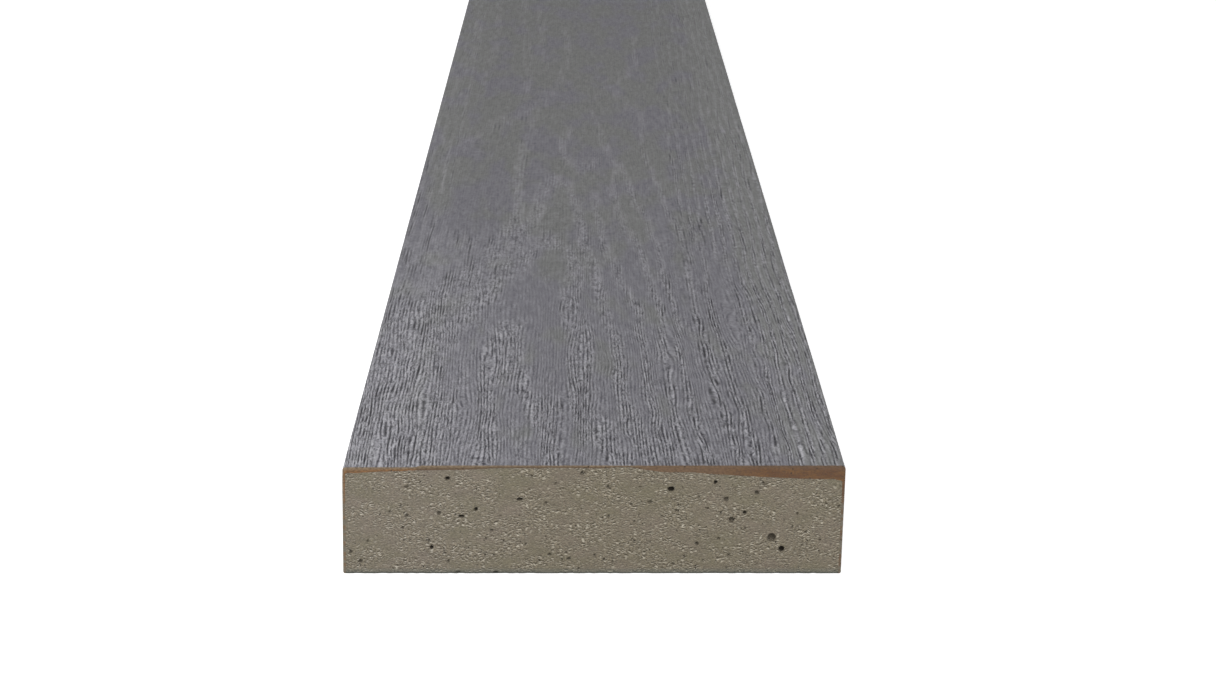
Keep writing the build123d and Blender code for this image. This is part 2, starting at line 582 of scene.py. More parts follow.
def skin_faces():
    """The faces, and which of the two materials each one has: 0 outside, 1 where it is cut."""
    count, length = len(outer), len(rows)
    left_lip, right_lip = count * length, (count + 1) * length
    near_in = (count + 2) * length
    far_in = near_in + count - 2
    faces, kinds = [], []
    for r in range(length - 1):
        first = r * count
        for c in range(first, first + count - 1):
            faces.append((c, c + 1, c + 1 + count, c + count))
        faces.append((left_lip + r, first, first + count, left_lip + r + 1))
        faces.append((first + count - 1, right_lip + r, right_lip + r + 1, first + 2 * count - 1))
    kinds = [0] * len(faces)
    last = (length - 1) * count
    near = [left_lip, *range(near_in, near_in + count - 2), right_lip]
    far = [left_lip + length - 1, *range(far_in, far_in + count - 2), right_lip + length - 1]
    for c in range(count - 1):
        faces.append((near[c], near[c + 1], c + 1, c))
        faces.append((far[c + 1], far[c], last + c, last + c + 1))
        kinds += [1, 1]
    # Inside, a side is one face from lip to corner, and the rest are long strips
    side = side_points
    for c in range(side, count - 1 - side):
        faces.append((near[c + 1], near[c], far[c], far[c + 1]))
        kinds.append(1)
    left_edge = list(range(left_lip, left_lip + length))
    faces.append(near[side:0:-1] + left_edge + far[1:side + 1])
    right_edge = list(range(right_lip + length - 1, right_lip - 1, -1))
    faces.append(far[-side - 1:-1] + right_edge + near[-2:-side - 2:-1])
    kinds += [1, 1]
    return faces, kinds


# %% [markdown]
# ## The core
#
# The core fills the skin. Its sawn ends are the only part of it that is seen from above, so each
# end is a fine grid, pushed in wherever the saw has opened an air bubble. Balls could be cut out
# of it instead, but so many cuts leave slivers, and a grid takes the torn surface as well. The
# bubbles of the solid model are the largest. The smaller ones are listed here: across from the
# middle and up from the underside, then how wide and how high, in millimetres.

# %% The smaller bubbles
small_bubbles = [
    (-3.4, 29.7, 1.3, 0.9), (-34.0, 19.1, 1.0, 0.9), (-46.8, 7.8, 1.0, 1.0),
    (-67.5, 3.7, 1.1, 1.1), (-54.0, 25.8, 1.6, 0.6), (-58.9, 18.3, 0.9, 0.6),
    (-55.6, 20.1, 0.8, 0.7), (-55.2, 13.7, 0.8, 0.8), (-43.1, 6.1, 1.3, 0.6),
    (-42.0, 3.7, 0.8, 0.8), (-29.5, 12.9, 0.8, 0.8), (-27.2, 17.2, 1.2, 0.5),
    (-31.2, 10.4, 0.7, 0.7), (-13.8, 21.0, 0.8, 0.8), (-17.8, 28.9, 0.8, 0.8),
    (-11.0, 26.8, 0.7, 0.7), (-12.8, 5.7, 1.2, 0.7), (-9.1, 4.2, 0.8, 0.7),
    (-7.2, 4.4, 1.2, 0.8), (-4.6, 1.5, 0.7, 0.7), (0.2, 5.5, 0.8, 0.7),
    (-19.7, 8.7, 0.7, 0.7), (-15.8, 3.8, 0.7, 0.7), (-39.3, 0.5, 1.6, 0.7),
    (-28.4, 0.4, 1.8, 0.6), (35.0, 27.1, 1.0, 1.0), (48.6, 26.8, 1.1, 0.8),
    (23.3, 21.8, 0.7, 0.7), (23.8, 18.8, 0.8, 0.8), (16.1, 21.3, 1.4, 0.8),
    (43.4, 18.1, 0.9, 0.9), (36.7, 17.9, 0.7, 0.7), (32.8, 19.4, 0.8, 0.8),
    (58.9, 17.8, 0.8, 0.8), (57.4, 13.8, 0.7, 0.7), (43.7, 13.5, 0.7, 0.7),
    (36.0, 10.4, 0.8, 0.8), (26.1, 5.1, 0.7, 0.7), (23.0, 3.0, 1.0, 0.7),
    (38.9, 5.6, 0.7, 0.7), (38.2, 1.9, 0.7, 0.6), (2.9, 4.1, 0.7, 0.7),
    (5.5, 3.7, 0.7, 0.7), (4.2, 17.0, 0.8, 0.7), (10.8, 20.6, 0.7, 0.7),
    (11.5, 15.5, 0.7, 0.7), (11.5, 9.6, 0.7, 0.7), (65.8, 10.0, 0.7, 0.7),
    (70.9, 20.0, 0.7, 0.8), (61.6, 12.4, 0.7, 0.7), (30.3, 22.7, 0.7, 0.6),
    (-65.4, 9.7, 0.7, 0.7), (-61.8, 17.4, 0.6, 0.5), (45.8, 16.1, 0.9, 0.5),
    (36.5, 13.8, 0.7, 0.6), (13.3, 25.7, 0.9, 0.5), (4.0, 25.7, 0.9, 0.7),
]
# Bubbles of the solid that lay flatter in the mould: across, up, and how much wider and lower
flattened = [(-21.4, 22.1, 1.45, 0.5), (-38.3, 17.0, 1.3, 0.65), (-42.2, 28.2, 1.1, 0.65),
             (-47.9, 9.9, 1.2, 0.75), (22.2, 25.1, 1.2, 0.8)]
# The middles of the bubbles that go in deepest, and look black under full painted shade
deep_bubbles = [(22.2, 25.1), (54.2, 7.3), (-42.0, 28.1), (35.0, 27.1), (-34.0, 19.1),
                (-46.8, 7.8), (43.4, 18.1), (-21.4, 22.1), (-38.3, 17.0)]
# How deep a bubble goes for each millimetre of its least width
deep_share, shallow_share = 1.1, 0.6
print(len(small_bubbles), "smaller bubbles")


def same_bubble(x, z, other_x, other_z):
    """Whether two middles are less than a millimetre apart, and so are those of one bubble."""
    return np.hypot(x - other_x, z - other_z) < 1


def bubble_hollows(x, z):
    """How far the sawn end is hollowed at each place, and how much painted shade it has there."""
    hollow, painted_shade = np.zeros_like(x), np.zeros_like(x)
    for bx, bz, wide, tall in large_bubbles + small_bubbles:
        for fx, fz, wider, lower in flattened:
            if same_bubble(bx, bz, fx, fz):
                wide, tall = wide * wider, tall * lower
        is_deep = any(same_bubble(bx, bz, *middle) for middle in deep_bubbles)
        deepest = min(wide, tall) * (deep_share if is_deep else shallow_share)
        spread = np.hypot((x - bx) / wide, (z - bz) / tall) * 2
        round_bottom = np.sqrt(np.clip(1 - spread**2, 0, 1))
        hollow = np.maximum(hollow, deepest * round_bottom)
        # The lowest part of a hollow catches the light, so it gets less painted shade
        shade = 1 - 0.5 * soft_step(0.2, -0.8, 2 * (z - bz) / tall)
        shade = (1.0 if is_deep else 0.75 * shade) * soft_step(0.05, 0.4, round_bottom)
        painted_shade = np.maximum(painted_shade, shade)
    return hollow, painted_shade


# %% The core's mesh
core_columns, core_rows = 462, 100
deepest_inset = 3
across = np.linspace(-core_half, core_half, core_columns + 1)
share_up = np.linspace(0, 1, core_rows + 1)
core_top = np.interp(across, inner[:, 0], inner[:, 1])
core_top[[0, -1]] = inner[side_points, 1], inner[-side_points - 1, 1]


def sawn_end(side):
    """The points of one end: side is -1 for the near one, and 1 for the far one."""
    x, up = np.meshgrid(across, share_up)
    z = up * core_top
    seen_x = x * -side
    hollow, painted_shade = bubble_hollows(seen_x, z)
    torn = 0.05 + 0.05 * soft_noise(seen_x / 0.7, z / 0.6, 61 + side)
    chips = soft_step(0.9, 0.2, z) * soft_step(-0.1, 0.6, soft_noise(seen_x / 1.6, 0 * z, 71))
    inset = np.minimum(hollow + torn + 0.35 * chips, deepest_inset)
    return np.stack([lean(x, z), side * (half_length - inset), z], 2).reshape(-1, 3), painted_shade


def core_faces():
    """Both ends, and long strips between them."""
    wide = core_columns + 1
    far = wide * (core_rows + 1)
    faces = []
    for r in range(core_rows):
        for c in range(r * wide, r * wide + core_columns):
            faces.append((c, c + 1, c + 1 + wide, c + wide))
            faces.append((far + c + 1, far + c, far + c + wide, far + c + 1 + wide))
    ends = len(faces)
    top = core_rows * wide
    for c in range(core_columns):
        faces.append((c + 1, c, far + c, far + c + 1))
        faces.append((top + c, top + c + 1, far + top + c + 1, far + top + c))
    for r in range(0, top, wide):
        faces.append((r, r + wide, far + r + wide, far + r))
        right = r + core_columns
        faces.append((right + wide, right, far + right, far + right + wide))
    return faces, [0] * ends + [1] * (len(faces) - ends)


near_end, near_painted_shade = sawn_end(-1)
far_end, far_painted_shade = sawn_end(1)
print("each sawn end has", len(near_end), "points")

# %% [markdown]
# ## Finishes
#
# Both pieces are matt. What tells them apart is their pattern, so two effects are made once, as
# node groups with their own inputs, and every material takes what it needs from them: streaks
# that run along the board, and the grain of a sawn or cast surface.

# %% Helpers for nodes
def connect(tree, socket, source):
    """Gives an input a fixed value, or joins it to another node's output."""
    if isinstance(source, bpy.types.NodeSocket):
        tree.links.new(source, socket)
    else:
        socket.default_value = source


def add(tree, kind, settings=None, **inputs):
    """A node with its settings and inputs; underscores stand for spaces in a socket's name."""
    made = tree.nodes.new(kind)
    for name, value in (settings or {}).items():
        setattr(made, name, value)
    for name, value in inputs.items():
        connect(tree, made.inputs[name.replace("_", " ")], value)
    return made


def calculate(tree, operation, *values):
    """A Math node."""
    made = add(tree, "ShaderNodeMath", {"operation": operation})
    for socket, value in zip(made.inputs, values):
        connect(tree, socket, value)
    return made.outputs[0]


def times(tree, first, second):
    """One value times another."""
    return calculate(tree, "MULTIPLY", first, second)


def plus(tree, first, second):
    """Two values added up."""
    return calculate(tree, "ADD", first, second)


def minus(tree, first, second):
    """One value less another."""
    return calculate(tree, "SUBTRACT", first, second)


def remap(tree, value, low, high, to_low=0.0, to_high=1.0):
    """Turns the range from low to high into another one, with soft ends."""
    made = add(tree, "ShaderNodeMapRange", {"interpolation_type": "SMOOTHSTEP"}, Value=value)
    ranges = {"From Min": low, "From Max": high, "To Min": to_low, "To Max": to_high}
    for name, number in ranges.items():
        connect(tree, made.inputs[name], number)
    return made.outputs["Result"]


def blend_colours(tree, amount, first, second):
    """The first colour where amount is 0, and the second where it is 1."""
    made = add(tree, "ShaderNodeMix", {"data_type": "RGBA"})
    connect(tree, made.inputs["Factor"], amount)
    connect(tree, made.inputs["A"], first)
    connect(tree, made.inputs["B"], second)
    return made.outputs["Result"]


def coordinate(tree, axis):
    """Where each place is along an axis, in millimetres."""
    place = add(tree, "ShaderNodeTexCoord").outputs["Object"]
    sides = add(tree, "ShaderNodeSeparateXYZ", Vector=place).outputs
    return calculate(tree, "DIVIDE", sides[axis], mm)


def stretched(tree, across_mm, along_mm, up_mm):
    """Coordinates in which each direction is divided by its own length in millimetres."""
    place = add(tree, "ShaderNodeTexCoord").outputs["Object"]
    sizes = add(tree, "ShaderNodeCombineXYZ", X=across_mm, Y=along_mm, Z=up_mm).outputs[0]
    metres = add(tree, "ShaderNodeVectorMath", {"operation": "SCALE"}, Scale=mm)
    connect(tree, metres.inputs[0], sizes)
    divided = add(tree, "ShaderNodeVectorMath", {"operation": "DIVIDE"})
    connect(tree, divided.inputs[0], place)
    connect(tree, divided.inputs[1], metres.outputs[0])
    return divided.outputs[0]


def noise(tree, vector, detail=2.0):
    """A noise of about one blot for each unit of the coordinates, as a value from 0 to 1."""
    return add(tree, "ShaderNodeTexNoise", Vector=vector, Scale=1.0, Detail=detail).outputs[0]


def flat_noise(tree, across, along, width, length):
    """A noise over the unrolled surface, whose blots have a width and a length."""
    u = calculate(tree, "DIVIDE", across, width)
    v = calculate(tree, "DIVIDE", along, length)
    place = add(tree, "ShaderNodeCombineXYZ", X=u, Y=v).outputs[0]
    made = add(tree, "ShaderNodeTexNoise", {"noise_dimensions": "2D"}, Vector=place,
               Scale=1.0, Detail=1.0)
    return made.outputs[0]


def new_group(name, inputs, outputs):
    """An empty node group with number inputs and outputs, and its two end nodes."""
    group = bpy.data.node_groups.new(name, "ShaderNodeTree")
    for socket, value in inputs.items():
        made = group.interface.new_socket(socket, in_out="INPUT", socket_type="NodeSocketFloat")
        made.default_value = value
    for socket in outputs:
        group.interface.new_socket(socket, in_out="OUTPUT", socket_type="NodeSocketFloat")
    return group, group.nodes.new("NodeGroupInput"), group.nodes.new("NodeGroupOutput")


def put_out(group, result, **values):
    """Joins values to the group's outputs of the same names."""
    for name, value in values.items():
        connect(group, result.inputs[name], value)


# %% [markdown]
# ### Streaks
#
# Brushing leaves wood's fibres as thin ridges side by side, and no two are alike. The group
# takes a count of fibres across the board, puts a pale line on each whole number with narrow
# valleys between them, and breaks the lines into lengths. Softness weakens the lines, and gives
# broader differences in place of the finest ones. The group puts out their lightness, thin dark
# pores, and a height for the bump, with the pores cut into it.

# %% Streaks group
def make_streaks():
    given = {"Fibres": 0.0, "Along": 0.0, "Length": 14.0, "Pores": 0.5, "Softness": 0.0}
    group, given, result = new_group("streaks", given, ("Lightness", "Height", "Pore"))
    count, along = given.outputs["Fibres"], given.outputs["Along"]

    def blots(fibres, lengths):
        """A noise whose blots are so many fibres wide and so many lengths long."""
        length = times(group, given.outputs["Length"], lengths)
        return flat_noise(group, count, along, fibres, length)

    # Wide ridges between narrow valleys, less the mean of such a wave
    wave = calculate(group, "COSINE", times(group, count, np.pi))
    lines = minus(group, times(group, calculate(group, "ABSOLUTE", wave), 2.0), 1.27)
    strength = remap(group, blots(1.4, 1.1), 0.38, 0.62, 0.10, 0.50)
    softness = given.outputs["Softness"]
    fine = minus(group, 1.0, softness)
    strength = times(group, strength, calculate(group, "MAXIMUM", fine, 0.4))
    lines = times(group, lines, strength)
    # Long, short and broad differences between the fibres
    lightness = minus(group, lines, 0.58)
    for fibres, lengths, amount in ((0.7, 1.2, 0.5), (0.4, 0.30, fine), (1.2, 0.5, softness),
                                    (1.8, 1.3, 0.6)):
        part = times(group, blots(fibres, lengths), amount)
        lightness = plus(group, lightness, part)
    pores = remap(group, blots(0.6, 0.6), 0.59, 0.68)
    pores = times(group, pores, given.outputs["Pores"])
    put_out(group, result, Lightness=lightness, Pore=pores, Height=minus(group, lightness, pores))
    return group


streaks = make_streaks()
print("the streaks group has", len(streaks.nodes), "nodes")

# %% [markdown]
# ### Grit
#
# A sawn or cast mineral surface is a mass of grains with pin holes between them, and the glass
# fibres in the resin show as short pale threads. A noise that is stretched sideways gives short
# level dashes, and a second, broad one bends them, so that each thread lies at its own tilt. The
# same dashes, moved up a little, give each thread a painted shadow.

# %% Grit group
def make_grit():
    sizes = {"Grain": 0.6, "Thread": 0.35, "Pin Holes": 1.6}
    results = ("Lightness", "Threads", "Pits", "Holes", "Height")
    group, given, result = new_group("grit", sizes, results)
    grain = given.outputs["Grain"]
    flat_grain = times(group, grain, 0.5)
    lightness = noise(group, stretched(group, grain, flat_grain, flat_grain), 1.0)
    # Across the board and up it; on a level face the way along the board stands for up
    across = coordinate(group, "X")
    up = plus(group, coordinate(group, "Y"), coordinate(group, "Z"))
    tilt = minus(group, flat_noise(group, across, up, 4.0, 4.0), 0.5)
    up = plus(group, up, times(group, tilt, 2.0))
    thickness = given.outputs["Thread"]
    length = times(group, thickness, 5.0)

    def dashes(height):
        """Level dashes, where a noise that is stretched sideways is strong."""
        return remap(group, flat_noise(group, across, height, length, thickness), 0.56, 0.67)

    threads = dashes(up)
    # Each thread has a painted shadow above it, a dark dash of the same size
    painted_shadows = dashes(minus(group, up, times(group, thickness, 1.3)))
    pitch = given.outputs["Pin Holes"]
    cells = add(group, "ShaderNodeTexVoronoi", Vector=stretched(group, pitch, pitch, pitch),
                Scale=1.0)
    chosen = remap(group, cells.outputs["Color"], 0.55, 0.6)
    holes = times(group, remap(group, cells.outputs["Distance"], 0.17, 0.10), chosen)
    raised = plus(group, lightness, times(group, threads, 0.5))
    put_out(group, result, Lightness=remap(group, lightness, 0.3, 0.7), Threads=threads,
            Pits=painted_shadows, Holes=holes, Height=minus(group, raised, holes))
    return group


grit = make_grit()
print("groups", [g.name for g in bpy.data.node_groups])

# %% Helpers for materials
def new_material(name, roughness, specular):
    """A material with its Principled shader, whose fixed values are on its own sockets."""
    material = bpy.data.materials.new(name)
    material.use_nodes = True
    shader = material.node_tree.nodes["Principled BSDF"]
    shader.inputs["Roughness"].default_value = roughness
    shader.inputs["Specular IOR Level"].default_value = specular
    return material, material.node_tree, shader


def use_group(tree, group, **sizes):
    """A copy of one of the shared effects, with sizes of its own."""
    return add(tree, "ShaderNodeGroup", {"node_tree": group}, **sizes).outputs


def stored(tree, name):
    """A value that was painted on the mesh."""
    return add(tree, "ShaderNodeAttribute", {"attribute_name": name}).outputs["Fac"]


def raise_surface(tree, shader, height, distance_mm):
    """Bumps the surface, with a height of 1 standing out by a distance."""
    bump = add(tree, "ShaderNodeBump", Strength=1.0, Distance=distance_mm * mm, Height=height)
    connect(tree, shader.inputs["Normal"], bump.outputs["Normal"])


# %% [markdown]
# ### The grey face
#
# The outside of the skin is a cool grey. The raised fibres are worn paler and carry a painted
# highlight, and the valleys and pores between them carry painted shade. The soft rings have pale
# rims of painted highlight along their edges, and further along a paler tone. A picture of wood
# would repeat, and its lines would miss the relief. So the mesh was painted with its own grain,
# rims, pores and count of fibres, and the nodes read those. Further along the board the fibres
# are softer, and painted light makes the near left paler and the rest darker. Very soft patches,
# a little warmer or cooler, keep the face from looking printed.

# %% Grey skin material
def make_grey_skin():
    material, tree, shader = new_material("grey_skin", 0.8, 0.05)
    grain, count = stored(tree, "grain"), stored(tree, "fibres")
    x, y = coordinate(tree, "X"), coordinate(tree, "Y")
    past_end = plus(tree, y, half_length)
    softness = remap(tree, past_end, 80, 480, 0.0, 0.85)
    fibre = use_group(tree, streaks, Fibres=count, Along=y, Length=9.0, Pores=0.7,
                      Softness=softness)
    cool, warm = (0.137, 0.134, 0.152, 1), (0.139, 0.141, 0.136, 1)
    patches = noise(tree, stretched(tree, 12, 60, 12))
    # The warm patches take over further along, and along the right edge
    patches = plus(tree, patches, remap(tree, past_end, 0, 1000, -0.09, 0.08))
    patches = plus(tree, patches, remap(tree, x, 52, 60, 0.0, 0.25))
    hard = blend_colours(tree, remap(tree, patches, 0.42, 0.62), cool, warm)
    mottle = remap(tree, flat_noise(tree, count, y, 2.2, 22.0), 0.35, 0.7, 0.0, 0.11)
    hard = blend_colours(tree, mottle, hard, (0.34, 0.34, 0.35, 1))
    # Painted shade in the narrow valleys between the fibres, and a pale tone on the raised fibres
    # that is partly wear and partly painted highlight
    valley_shade, worn = (0.028, 0.026, 0.033, 1), (0.460, 0.455, 0.485, 1)
    fibres = blend_colours(tree, fibre["Lightness"], valley_shade, worn)
    colour = blend_colours(tree, remap(tree, grain, 0.0, 0.9, 0.10, 0.80), hard, fibres)
    # Painted highlight along the rims of the soft rings, and a paler tone of the far rings
    rim = times(tree, stored(tree, "rim"), 0.34)
    colour = blend_colours(tree, rim, colour, (0.34, 0.335, 0.350, 1))
    # Painted shade in the open pores, from the streaks and from the pores painted on the mesh
    painted_shade = times(tree, fibre["Pore"], remap(tree, grain, 0.2, 0.7, 0.12, 0.75))
    painted_shade = calculate(tree, "MAXIMUM", painted_shade, times(tree, stored(tree, "pore"), 0.85))
    colour = blend_colours(tree, painted_shade, colour, (0.045, 0.044, 0.048, 1))
    # Painted light: the near left is painted paler, and the rest darker further along, as light
    # that falls off along the board. Both edges are paler too
    near = remap(tree, past_end, 0, 520, 0.21, 0.0)
    paler = times(tree, remap(tree, x, -2, -62), near)
    for value, low, high, at_low, at_high in (
            (x, -48, -62, 0.0, 0.07), (x, 50, 60, 0.0, 0.09),
            (past_end, 20, 70, 0.03, 0.0), (past_end, 150, 450, 1.0, 0.955)):
        paler = plus(tree, paler, remap(tree, value, low, high, at_low, at_high))
    scaled = add(tree, "ShaderNodeVectorMath", {"operation": "SCALE"}, Vector=colour, Scale=paler)
    connect(tree, shader.inputs["Base Color"], scaled.outputs[0])
    connect(tree, shader.inputs["Roughness"], remap(tree, fibre["Lightness"], 0, 1, 0.85, 0.72))
    height = times(tree, fibre["Height"], remap(tree, grain, 0, 1, 0.15, 1.0))
    raise_surface(tree, shader, height, 0.3)
    return material


grey_skin = make_grey_skin()
print("grey skin:", len(grey_skin.node_tree.nodes), "nodes")

# %% [markdown]
# ### The brown inside of the skin
#
# Where the saw has gone through the skin it is brown. It is redder and darker where it is thick,
# at the right, and paler at the left. Where it is thin it is tan next to the face, with a darker
# line along the core. Height alone can't tell those two apart, because the seam rises and falls,
# so the mesh is painted with 1 on its outside and 0 on its inside.

# %% Brown skin material
def make_brown_skin():
    material, tree, shader = new_material("brown_skin", 0.66, 0.3)
    sawn = use_group(tree, grit, Grain=0.8, Thread=0.3, Pin_Holes=1.8)
    x, outward = coordinate(tree, "X"), stored(tree, "outward")
    tan, rust, umber = (0.225, 0.165, 0.105, 1), (0.215, 0.110, 0.045, 1), (0.110, 0.072, 0.043, 1)
    left = blend_colours(tree, remap(tree, x, -53, -50), rust, umber)
    middle = blend_colours(tree, remap(tree, outward, 0.2, 0.8), left, tan)
    cloudy = remap(tree, noise(tree, stretched(tree, 5, 5, 1.5)), 0.35, 0.65)
    right = blend_colours(tree, cloudy, (0.108, 0.051, 0.0235, 1), (0.150, 0.074, 0.028, 1))
    upper = remap(tree, outward, 0.55, 0.95, 0.0, 0.8)
    right = blend_colours(tree, upper, right, (0.125, 0.078, 0.049, 1))
    between = blend_colours(tree, remap(tree, x, 8, 18), middle, (0.150, 0.093, 0.054, 1))
    colour = blend_colours(tree, remap(tree, x, 30, 50), between, right)
    uneven = remap(tree, sawn["Lightness"], 0.0, 0.9, 0.6, 0.0)
    colour = blend_colours(tree, uneven, colour, (0.070, 0.043, 0.026, 1))
    # Painted shade in the pin holes
    colour = blend_colours(tree, sawn["Holes"], colour, (0.04, 0.028, 0.02, 1))
    # Down the sides the saw has smeared the core's dust over it
    dust = remap(tree, noise(tree, stretched(tree, 4, 4, 1.6), 1.0), 0.42, 0.55, 0.3, 0.95)
    dust = times(tree, dust, remap(tree, coordinate(tree, "Z"), 26, 18))
    colour = blend_colours(tree, dust, colour, (0.150, 0.136, 0.105, 1))
    connect(tree, shader.inputs["Base Color"], colour)
    raise_surface(tree, shader, sawn["Height"], 0.12)
    return material


brown_skin = make_brown_skin()
print("brown skin:", len(brown_skin.node_tree.nodes), "nodes")

# %% [markdown]
# ### The sawn core
#
# The core is a beige grey. Its grains differ in tone, and it has pale threads of glass fibre.
# One noise alone would look like stone, so the grit group's parts are laid over one another:
# grains, a painted shadow above each thread, the threads, and pin holes darkened with painted
# shade. Light alone leaves small bubbles too pale, so painted shade on the mesh darkens the deep
# parts of each. Painted shade also darkens the bottom edge.

# %% Sawn core material
def make_sawn_core():
    material, tree, shader = new_material("sawn_core", 0.75, 0.25)
    sawn = use_group(tree, grit, Grain=0.5, Thread=0.25, Pin_Holes=1.5)
    patches = remap(tree, noise(tree, stretched(tree, 15, 15, 9)), 0.35, 0.65)
    colour = blend_colours(tree, patches, (0.178, 0.162, 0.112, 1), (0.206, 0.172, 0.142, 1))
    shaded, bright = (0.074, 0.064, 0.047, 1), (0.290, 0.253, 0.193, 1)
    grains = blend_colours(tree, sawn["Lightness"], shaded, bright)
    # The saw has left some areas rough, and others smeared smooth
    rough = remap(tree, noise(tree, stretched(tree, 7, 7, 4), 1.5), 0.38, 0.60, 0.45, 1.0)
    colour = blend_colours(tree, times(tree, rough, 0.9), colour, grains)
    # Painted shadow above each thread, where the saw left the face rough
    painted_shadows = times(tree, times(tree, sawn["Pits"], rough), 0.95)
    colour = blend_colours(tree, painted_shadows, colour, (0.052, 0.043, 0.031, 1))
    threads = times(tree, sawn["Threads"], rough)
    colour = blend_colours(tree, threads, colour, (0.49, 0.45, 0.375, 1))
    # The left is a little paler, and the rest yellower
    paler, yellower = (1.065, 1.06, 1.06, 1), (0.985, 0.975, 0.935, 1)
    tint = blend_colours(tree, remap(tree, coordinate(tree, "X"), -50, -5), paler, yellower)
    tinted = add(tree, "ShaderNodeVectorMath", {"operation": "MULTIPLY"}, Vector=colour)
    connect(tree, tinted.inputs[1], tint)
    # Painted shade in the pin holes
    holes = times(tree, sawn["Holes"], rough)
    colour = blend_colours(tree, holes, tinted.outputs[0], (0.022, 0.018, 0.013, 1))
    # Painted shade along the bottom edge: a thin grey line, darkest at the edge itself
    up = coordinate(tree, "Z")
    bottom_shade, edge = remap(tree, up, 1.8, 0.9, 0.0, 0.4), remap(tree, up, 0.6, 0.3, 0.0, 0.8)
    colour = blend_colours(tree, bottom_shade, colour, (0.15, 0.16, 0.14, 1))
    colour = blend_colours(tree, edge, colour, (0.07, 0.08, 0.07, 1))
    # Painted shade on the deep parts of the bubbles, from the values painted on the mesh
    colour = blend_colours(tree, stored(tree, "hollow"), colour, (0.017, 0.014, 0.010, 1))
    connect(tree, shader.inputs["Base Color"], colour)
    raise_surface(tree, shader, sawn["Height"], 0.25)
    return material


sawn_core = make_sawn_core()
print("sawn core:", len(sawn_core.node_tree.nodes), "nodes")

# %% [markdown]
# ### The cast underside
#
# The back of the mould left the underside flat. It has the core's colour, a little smoother, with
# the long faint marks of the board that levelled it and pin holes where air came out, darkened
# with painted shade. The same two groups make it, with wider and longer values.

# %% Cast core material
def make_cast_core():
    material, tree, shader = new_material("cast_core", 0.7, 0.3)
    cast = use_group(tree, grit, Grain=1.4, Thread=0.6, Pin_Holes=4.0)
    marks = calculate(tree, "DIVIDE", coordinate(tree, "X"), 7)
    levelled = use_group(tree, streaks, Fibres=marks, Along=coordinate(tree, "Y"), Length=140.0,
                         Pores=0.0)
    shaded, bright = (0.165, 0.143, 0.112, 1), (0.225, 0.197, 0.155, 1)
    colour = blend_colours(tree, cast["Lightness"], shaded, bright)
    worn = times(tree, levelled["Lightness"], 0.3)
    colour = blend_colours(tree, worn, colour, (0.26, 0.23, 0.185, 1))
    # Painted shade in the pin holes
    holes = times(tree, cast["Holes"], 0.8)
    colour = blend_colours(tree, holes, colour, (0.05, 0.043, 0.033, 1))
    connect(tree, shader.inputs["Base Color"], colour)
    height = plus(tree, cast["Height"], times(tree, levelled["Height"], 0.5))
    raise_surface(tree, shader, height, 0.2)
    return material


cast_core = make_cast_core()
print("cast core:", len(cast_core.node_tree.nodes), "nodes")

# %% [markdown]
# ## Putting the pieces together
#
# Each mesh takes the place of its solid and rides on the board's body. What the finishes read is
# painted on its points, so it stays in place however the board is turned.

# %% Wear skin
faces, kinds = skin_faces()
skin = build_mesh("moulded_skin", skin_points(), faces, (grey_skin, brown_skin), kinds)
unpainted = np.zeros(len(skin.data.vertices) - grain.size)
fibres = count_fibres(unrolled, distance)
# The rims carry painted highlight and the pores painted shade, for the grey skin
for name, values in (("grain", grain), ("rim", rim), ("pore", pore), ("fibres", fibres)):
    paint(skin, name, np.concatenate([values.ravel(), unpainted]))
paint(skin, "outward", np.concatenate([np.ones(grain.size), unpainted]))
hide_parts("wear_skin")
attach(skin, body)
print("skin:", len(skin.data.polygons), "faces")

# %% Mineral core
faces, kinds = core_faces()
core = build_mesh("sawn_mineral_core", np.vstack([near_end, far_end]), faces,
                  (sawn_core, cast_core), kinds)
# The bubbles' painted shade
paint(core, "hollow", np.concatenate([near_painted_shade.ravel(), far_painted_shade.ravel()]))
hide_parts("mineral_core")
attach(core, body)
print("core:", len(core.data.polygons), "faces")

# %% [markdown]
# ### A map for baked textures
#
# The board is 25 times as long as it is wide, but its grain is fine across it and long along it,
# and the sawn ends are small and need the most detail. So when the materials are baked, each part
# of a piece is stretched over its own band of a square map. The parts that lie against the other
# piece are never seen, and get the narrowest bands. Along the board half of the map goes by
# distance and half by rows, so the seen end, where the rows are close together, gets more of it.

# %% Maps for baking
margin = 0.002


def add_map(piece, part_of_face, parts):
    """Lays out a piece: two shares from 0 to 1 at each point, and a band, for each part."""
    mesh = piece.data
    corner = np.empty(len(mesh.loops), np.int32)
    mesh.loops.foreach_get("vertex_index", corner)
    corners = np.empty(len(mesh.polygons), np.int32)
    mesh.polygons.foreach_get("loop_total", corners)
    part_of_corner = np.repeat(part_of_face, corners)
    place = np.empty((len(corner), 2), np.float32)
    for number, (over, up, low, high) in enumerate(parts):
        here = part_of_corner == number
        place[here, 0] = margin + (1 - 2 * margin) * over[corner[here]]
        place[here, 1] = low + (high - low) * up[corner[here]]
    mesh.uv_layers.new(name="OFBake").uv.foreach_set("vector", place.ravel())


